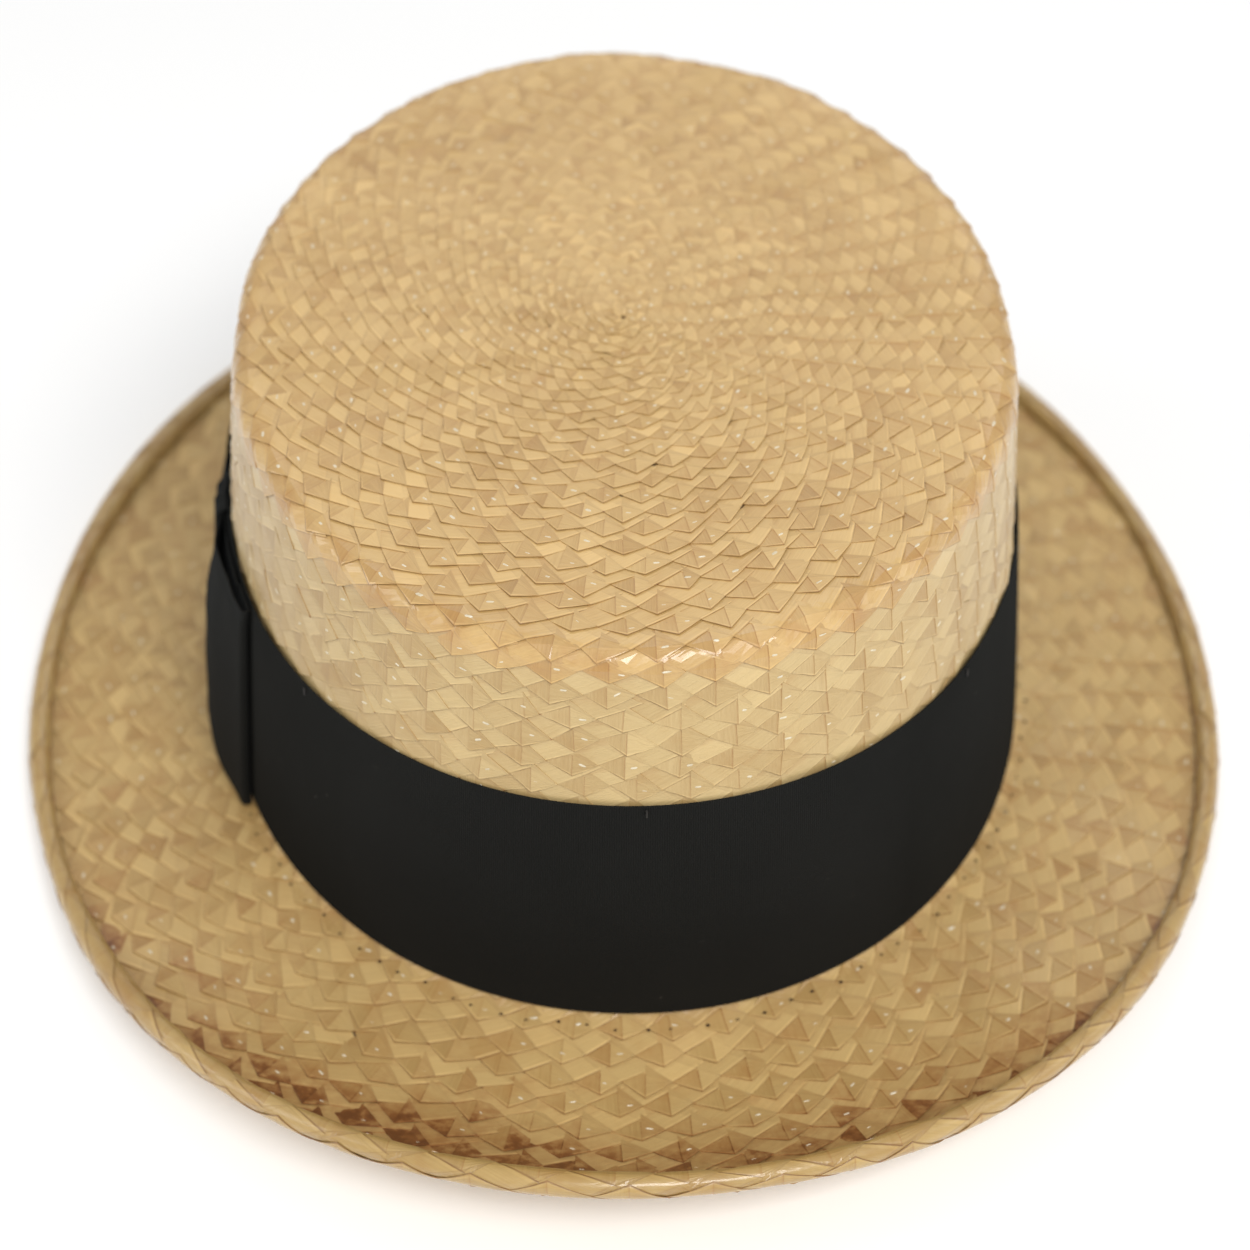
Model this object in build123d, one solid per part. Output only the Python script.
from build123d import *
import os
from math import sin, cos, pi, sqrt, atan2, radians, degrees

# Straw hat with a tall flat-topped crown, ribbon band and side bow.  Millimetres.
# +Z is up, +Y is the front of the hat, -X is the wearer's left.  The origin is
# the centre of the head opening, on the plane that the brim rests on.
#
# Azimuths run counterclockwise from +X: 90 is the front, 180 the left and
# -90 the back.  Profiles are (radius, z) points in the vertical plane at one
# azimuth.  "Wall offset" means distance outward from the crown's outer face.

# Straw
CROWN_HEIGHT = 100.5           # flat tip above the resting plane
TIP_A, TIP_B = 97.8, 77.5      # crown at the tip: half length (Y), half width (X)
BASE_A, BASE_B = 105.4, 84.9   # crown where it meets the brim
BRIM_A, BRIM_B = 156.2, 129.5  # brim outline
STRAW_T = 1.2
BREAK_Z = 6.0                  # crown/brim break at the sides
BREAK_RISE_BACK = 5.8          # extra height of the break at the back
BREAK_RISE_FRONT = 1.0         # and at the front
BRIM_LIFT_BACK = 20.8          # how far the brim edge turns up at the back
LIFT_POWER = 2.4               # how quickly the lift fades towards the sides
CURL_POWER = 2.6               # how late across the brim the curl begins
BRIM_POINTS = 9                # profile points from break to hem
HEM_R = 2.3                    # outside radius of the rolled hem
HEM_SWEEP = 285.0              # how far the straw rolls round, degrees
TIP_EDGE_R = 4.0               # rounding between tip and crown side
JOIN_Z = 36.0                  # where crown cap and lower wall are fused
CAP_STEP = 0.06                # cap stands this far proud of each wall face
CAP_BORE_OVERRUN = 5.0         # cap's inner cutter starts this far below the join

# Wire in the hem
WIRE_R = 0.8
WIRE_END_GAP = 0.4             # between the two wire ends, at the front
FERRULE_R, FERRULE_LEN = 1.04, 18.0
FERRULE_BORE_R = WIRE_R + 0.03
FERRULE_AZ = 90.0
FERRULE_BORE_OVERRUN = 1.0     # degrees past each end

# Crown ribbon
BAND_H = 53.6
BAND_T = 0.7
BAND_GAP = 0.15                # ribbon to straw
BAND_RISE = 0.5                # lower edge above the break
BAND_OUT = BAND_GAP + BAND_T   # wall offset of its outer face

# Bow on the left side
LAYER_GAP = 0.1                # between ribbon layers
BACKING_T = 0.7
BACKING_IN = BAND_OUT + LAYER_GAP
BACKING_BOTTOM = 5.6           # lower edge above the break
BACKING_TOP = BAND_H - 4.4     # upper edge above the break
BACKING_INSET = 6.0            # degrees short of each loop's end fold
LOOP_IN = BACKING_IN + BACKING_T + LAYER_GAP
BOW_AZ = 178.0                 # knot
BOW_REAR_AZ = 207.5            # end fold towards the back
BOW_FRONT_AZ = 148.5           # end fold towards the front
BOW_BOTTOM = 0.8               # full-height bow's lower edge above the break
BOW_H = BAND_H - 0.6
LOOP_PINCH = 7.0               # taken off top and bottom at the knot
LOOP_T = 1.6                   # thickness at the knot
LOOP_PUFF = 3.2                # thickness gained by mid loop
LOOP_THINNING = 1.8            # thickness lost again by the end fold
LOOP_START = 0.5               # degrees from knot centre
KNOT_HALF = 6.5                # half width of the wrap, along the band
KNOT_ANGLE = degrees(KNOT_HALF / (BASE_B + 2))
KNOT_TRIM = 5.0                # taken off top and bottom
KNOT_IN = LOOP_IN + 1.85
KNOT_OUT = LOOP_IN + 2.5
KNOT_BULGE = 0.5

# Sweatband
SWEAT_T = 0.9
SWEAT_GAP = 0.75               # leather to straw
SWEAT_OUT = -STRAW_T - SWEAT_GAP
SWEAT_IN = SWEAT_OUT - SWEAT_T
SWEAT_BOTTOM = 1.4             # lower edge above the break
SWEAT_TOP = 37.0               # upper edge above the break
REED_R = 0.75
REED_DROP = 0.3                # reed centre below the break
REED_INSET = 0.5               # reed centre inward of the leather's outer face
TAPE_T = 0.2
TAPE_IN_R = REED_R + 0.06
TAPE_SWEEP = 235               # degrees round the reed
TAPE_TAIL = 7.0                # tail height above the reed centre
STITCHES = 92
STITCH_SIZE = (3.4, 0.45, 0.45)
STITCH_RISE = 3.2              # above the break
STITCH_INSET = 0.32            # centre inward of the leather's inner face
REAR_BOW_RISE = 7.0
REAR_BOW_INSET = 1.9
REAR_KNOT_SIZE = (5, 1.8, 4.6)
REAR_LOOP_SIZE = (9, 1.4, 6.4)
REAR_LOOP_X, REAR_LOOP_Y = 6.5, 0.1

# Tacks on the ribbon's upper edge
TACK_AZIMUTHS = (-90, -45, 0, 45, 90, 135, 225)
TACK_SIZE = (0.4, 0.4, 1.8)
TACK_DROP = 1.2                # centre below the ribbon's upper edge
TACK_OUT = BAND_OUT + 0.28


# ---- Hat surfaces

def oval_radius(a, b, az):
    """Polar radius of an oval with half length a along Y, half width b along X."""
    return a * b / sqrt((a * cos(az)) ** 2 + (b * sin(az)) ** 2)


def back_to_front(a, b, az):
    """Sine of the oval's own parameter: -1 at the back, +1 at the front."""
    return oval_radius(a, b, az) * sin(az) / a


def break_height(az):
    s = back_to_front(BASE_A, BASE_B, az)
    rise = BREAK_RISE_BACK if s < 0 else BREAK_RISE_FRONT
    return BREAK_Z + rise * s * s


def wall_radius(az, z):
    """Outer radius of the crown side at height z."""
    up = (z - BREAK_Z) / (CROWN_HEIGHT - BREAK_Z)
    return oval_radius(BASE_A + (TIP_A - BASE_A) * up, BASE_B + (TIP_B - BASE_B) * up, az)


def brim_profile(az):
    """Brim's mid-surface points, the hem centre, and the unit direction in
    which the brim enters the hem."""
    start_z = break_height(az) - STRAW_T / 2
    start_r = wall_radius(az, start_z) - STRAW_T / 2
    lift = BRIM_LIFT_BACK * max(0.0, -back_to_front(BRIM_A, BRIM_B, az)) ** LIFT_POWER
    hem_r = oval_radius(BRIM_A, BRIM_B, az) - HEM_R
    hem_z = HEM_R + lift

    rest_z = STRAW_T / 2                   # mid-surface of a brim lying flat
    drop = rest_z - start_z
    slope = (drop + CURL_POWER * lift) / (hem_r - start_r)
    length = sqrt(1 + slope * slope)
    dir_r, dir_z = 1 / length, slope / length

    roll_r = HEM_R - STRAW_T / 2
    width = hem_r + dir_z * roll_r - start_r
    end_lift = hem_z - dir_r * roll_r - rest_z
    points = []
    for i in range(BRIM_POINTS):
        u = i / (BRIM_POINTS - 1)
        points.append((start_r + width * u, start_z + drop * u + end_lift * u ** CURL_POWER))
    return points, (hem_r, hem_z), (dir_r, dir_z)


def hem_centre(az):
    return brim_profile(az)[1]


# ---- Profile and solid tools

def offset_points(points, distance, end_dir):
    """Points moved square to their line, to the upper side when positive."""
    last = len(points) - 1
    moved = []
    for i, (r, z) in enumerate(points):
        before, after = points[max(0, i - 1)], points[min(last, i + 1)]
        dr, dz = after[0] - before[0], after[1] - before[1]
        if i == last:
            dr, dz = end_dir
        length = sqrt(dr * dr + dz * dz)
        moved.append((r - dz / length * distance, z + dr / length * distance))
    return moved


def arc_points(centre, radius, start, end, count):
    angles = [start + (end - start) * i / (count - 1) for i in range(count)]
    return [(centre[0] + radius * cos(t), centre[1] + radius * sin(t)) for t in angles]


def in_space(az, point):
    return Vector(point[0] * cos(az), point[0] * sin(az), point[1])


def closed_wire(az, runs):
    """Runs of two points become lines, longer runs become splines."""
    edges = []
    for run in runs:
        points = [in_space(az, p) for p in run]
        edges.append(Edge.make_line(*points) if len(points) == 2 else Edge.make_spline(points))
    return Wire(edges)


def sector(runs_at, start, end, count):
    """Solid lofted through count profiles between two azimuths in degrees."""
    azimuths = [radians(start + (end - start) * i / (count - 1)) for i in range(count)]
    return Solid.make_loft([closed_wire(az, runs_at(az)) for az in azimuths])


def full_ring(runs_at, count=19):
    """Closed ring, symmetric about the YZ plane."""
    half = sector(runs_at, -90, 90, count)
    return half.fuse(half.mirror(Plane.YZ))


def round_runs(centre_at, radius):
    """Circular profile in two half circles."""
    def runs(az):
        centre = centre_at(az)
        return [arc_points(centre, radius, 0.0, pi, 9),
                arc_points(centre, radius, pi, 2 * pi, 9)]
    return runs


def layer_runs(az, inner, outer, z0, z1):
    """Four-sided profile between two wall offsets and two heights."""
    a = (wall_radius(az, z0) + inner, z0)
    b = (wall_radius(az, z0) + outer, z0)
    c = (wall_radius(az, z1) + outer, z1)
    d = (wall_radius(az, z1) + inner, z1)
    return [[a, b], [b, c], [c, d], [d, a]]


def placed_box(az, r, z, turn, size):
    return (Pos(r * cos(az), r * sin(az), z) * Rot(0, 0, turn) * Box(*size)).solids()[0]


# ---- Woven body

def body_runs(az):
    """Lower crown wall, brim and rolled hem."""
    mid, hem, end_dir = brim_profile(az)
    top = offset_points(mid, STRAW_T / 2, end_dir)
    bottom = offset_points(mid, -STRAW_T / 2, end_dir)
    break_z = break_height(az)
    break_r = wall_radius(az, break_z)
    top[0] = (break_r, break_z)
    bottom[0] = (break_r - STRAW_T, break_z - STRAW_T)

    start = atan2(-end_dir[0], end_dir[1])       # from hem centre to the brim's end
    end = start + radians(HEM_SWEEP)
    roll_in = arc_points(hem, HEM_R - STRAW_T, start, end, 13)
    roll_out = arc_points(hem, HEM_R, end, start, 13)
    top[-1] = roll_in[0]
    bottom[-1] = roll_out[-1]

    wall_out = (wall_radius(az, JOIN_Z), JOIN_Z)
    wall_in = (wall_out[0] - STRAW_T, JOIN_Z)
    return [
        [wall_out, top[0]],
        top,
        roll_in,
        [roll_in[-1], roll_out[0]],
        roll_out,
        bottom[::-1],
        [bottom[0], wall_in],
        [wall_in, wall_out],
    ]


def crown_oval(z, grow):
    plane = Plane(origin=(0, 0, z), x_dir=(0, 1, 0), z_dir=(0, 0, 1))
    half_length = wall_radius(pi / 2, z) + grow
    half_width = wall_radius(0.0, z) + grow
    return Wire([Edge.make_ellipse(half_length, half_width, plane)])


def crown_plug(z0, z1, grow, edge_r):
    """Solid crown shape with a rounded top edge."""
    plug = Solid.make_loft([crown_oval(z0, grow), crown_oval(z1, grow)])
    top_edges = [e for e in plug.edges()
                 if e.center().Z > z1 - 0.01 and e.bounding_box().size.Z < 0.01]
    return plug.fillet(edge_r, top_edges)


def woven_body():
    outside = crown_plug(JOIN_Z, CROWN_HEIGHT, CAP_STEP, TIP_EDGE_R)
    inside = crown_plug(JOIN_Z - CAP_BORE_OVERRUN, CROWN_HEIGHT - STRAW_T,
                        -STRAW_T - CAP_STEP, TIP_EDGE_R - STRAW_T)
    cap = (outside - inside).solids()[0]
    lower = full_ring(body_runs).solids()[0]
    return lower.fuse(cap).solids()


# ---- Wire in the hem

def brim_wire():
    ring = full_ring(round_runs(hem_centre, WIRE_R), 25)
    r, z = hem_centre(pi / 2)
    gap = Pos(0, r, z) * Box(WIRE_END_GAP, 8, 8)
    return (ring - gap).solids()


def wire_ferrule():
    half = degrees(FERRULE_LEN / 2 / BRIM_A)
    cut = half + FERRULE_BORE_OVERRUN
    sleeve = sector(round_runs(hem_centre, FERRULE_R), FERRULE_AZ - half, FERRULE_AZ + half, 7)
    bore = sector(round_runs(hem_centre, FERRULE_BORE_R), FERRULE_AZ - cut, FERRULE_AZ + cut, 9)
    return (sleeve - bore).solids()


# ---- Crown ribbon

def hat_band():
    def runs(az):
        z = break_height(az) + BAND_RISE
        return layer_runs(az, BAND_GAP, BAND_OUT, z, z + BAND_H)
    return full_ring(runs).solids()


def band_tacks():
    tacks = []
    for az_deg in TACK_AZIMUTHS:
        az = radians(az_deg)
        z = break_height(az) + BAND_RISE + BAND_H - TACK_DROP
        tacks.append(placed_box(az, wall_radius(az, z) + TACK_OUT, z, az_deg, TACK_SIZE))
    return tacks


# ---- Bow

def smooth(u):
    """Smooth step from 0 to 1."""
    u = max(0.0, min(1.0, u))
    return u * u * (3 - 2 * u)


def bow_layer(az, inner, outer, trim):
    z = break_height(az) + BOW_BOTTOM
    return layer_runs(az, inner, outer, z + trim, z + BOW_H - trim)


def bow_backing():
    def runs(az):
        z = break_height(az)
        return layer_runs(az, BACKING_IN, BACKING_IN + BACKING_T,
                          z + BACKING_BOTTOM, z + BACKING_TOP)
    return sector(runs, BOW_FRONT_AZ + BACKING_INSET, BOW_REAR_AZ - BACKING_INSET, 9).solids()


def loop_runs(end_az):
    """Loop pinched at the knot, puffed in the middle, full height at its end fold."""
    def runs(az):
        reach = abs(end_az - BOW_AZ) - KNOT_ANGLE
        u = max(0.0, abs(degrees(az) - BOW_AZ) - KNOT_ANGLE) / reach
        pinch = 1 - smooth((u - 0.05) / 0.75)
        thick = LOOP_T + LOOP_PUFF * smooth(u / 0.5) - LOOP_THINNING * smooth((u - 0.6) / 0.4)
        return bow_layer(az, LOOP_IN, LOOP_IN + thick, LOOP_PINCH * pinch)
    return runs


def bow_rear_loop():
    return sector(loop_runs(BOW_REAR_AZ), BOW_AZ + LOOP_START, BOW_REAR_AZ, 13).solids()


def bow_front_loop():
    return sector(loop_runs(BOW_FRONT_AZ), BOW_FRONT_AZ, BOW_AZ - LOOP_START, 13).solids()


def bow_knot():
    def runs(az):
        u = (degrees(az) - BOW_AZ) / KNOT_ANGLE
        return bow_layer(az, KNOT_IN, KNOT_OUT + KNOT_BULGE * (1 - u * u), KNOT_TRIM)
    return sector(runs, BOW_AZ - KNOT_ANGLE, BOW_AZ + KNOT_ANGLE, 5).solids()


# ---- Sweatband

def sweatband():
    def runs(az):
        z = break_height(az)
        return layer_runs(az, SWEAT_IN, SWEAT_OUT, z + SWEAT_BOTTOM, z + SWEAT_TOP)
    return full_ring(runs).solids()


def reed_centre(az):
    z = break_height(az) - REED_DROP
    return wall_radius(az, z) + SWEAT_OUT - REED_INSET, z


def sweatband_reed():
    return full_ring(round_runs(reed_centre, REED_R)).solids()


def tape_runs(az):
    """Tape folded under the reed, its tail standing between leather and straw."""
    r, z = reed_centre(az)
    inner, outer = [arc_points((r, z), radius, 0.0, -radians(TAPE_SWEEP), 10)
                    for radius in (TAPE_IN_R, TAPE_IN_R + TAPE_T)]
    # The tail follows the lean of the wall, measured over 6 mm of height.
    lean = (wall_radius(az, z + 6) - wall_radius(az, z)) / 6.0
    tail_in, tail_out = [(r + radius + lean * TAPE_TAIL, z + TAPE_TAIL)
                         for radius in (TAPE_IN_R, TAPE_IN_R + TAPE_T)]
    return [[tail_in, inner[0]], inner, [inner[-1], outer[-1]], outer[::-1],
            [outer[0], tail_out], [tail_out, tail_in]]


def reed_tape():
    return full_ring(tape_runs).solids()


def sweatband_stitching():
    """Stitches at equal steps of the base oval's parameter, along the wall."""
    stitches = []
    step = 0.002                   # radians either side, for the wall's tangent
    for i in range(STITCHES):
        t = 2 * pi * (i + 0.5) / STITCHES
        az = atan2(BASE_A * sin(t), BASE_B * cos(t))
        z = break_height(az) + STITCH_RISE
        r = wall_radius(az, z) + SWEAT_IN - STITCH_INSET
        before, after = [in_space(a, (wall_radius(a, z), z)) for a in (az - step, az + step)]
        turn = degrees(atan2(after.Y - before.Y, after.X - before.X))
        stitches.append(placed_box(az, r, z, turn, STITCH_SIZE))
    return stitches


def sweatband_rear_bow():
    """Small bow inside the sweatband at the back."""
    z = break_height(-pi / 2) + REAR_BOW_RISE
    y = -(wall_radius(-pi / 2, z) + SWEAT_IN - REAR_BOW_INSET)
    bow = Box(*REAR_KNOT_SIZE)
    for x in (-REAR_LOOP_X, REAR_LOOP_X):
        bow = bow + Pos(x, REAR_LOOP_Y, 0) * Box(*REAR_LOOP_SIZE)
    return (Pos(0, y, z) * bow).solids()


# ---- Output

def write(name, solids):
    solids = list(solids)
    body = solids[0] if len(solids) == 1 else Compound(children=solids)
    body.label = name
    export_step(body, "parts/" + name + ".step")


PIECES = (
    woven_body, brim_wire, wire_ferrule, hat_band,
    bow_backing, bow_rear_loop, bow_front_loop, bow_knot,
    sweatband, sweatband_reed, reed_tape, sweatband_stitching, sweatband_rear_bow,
    band_tacks,
)

os.makedirs("parts", exist_ok=True)
for piece in PIECES:
    write(piece.__name__, piece())
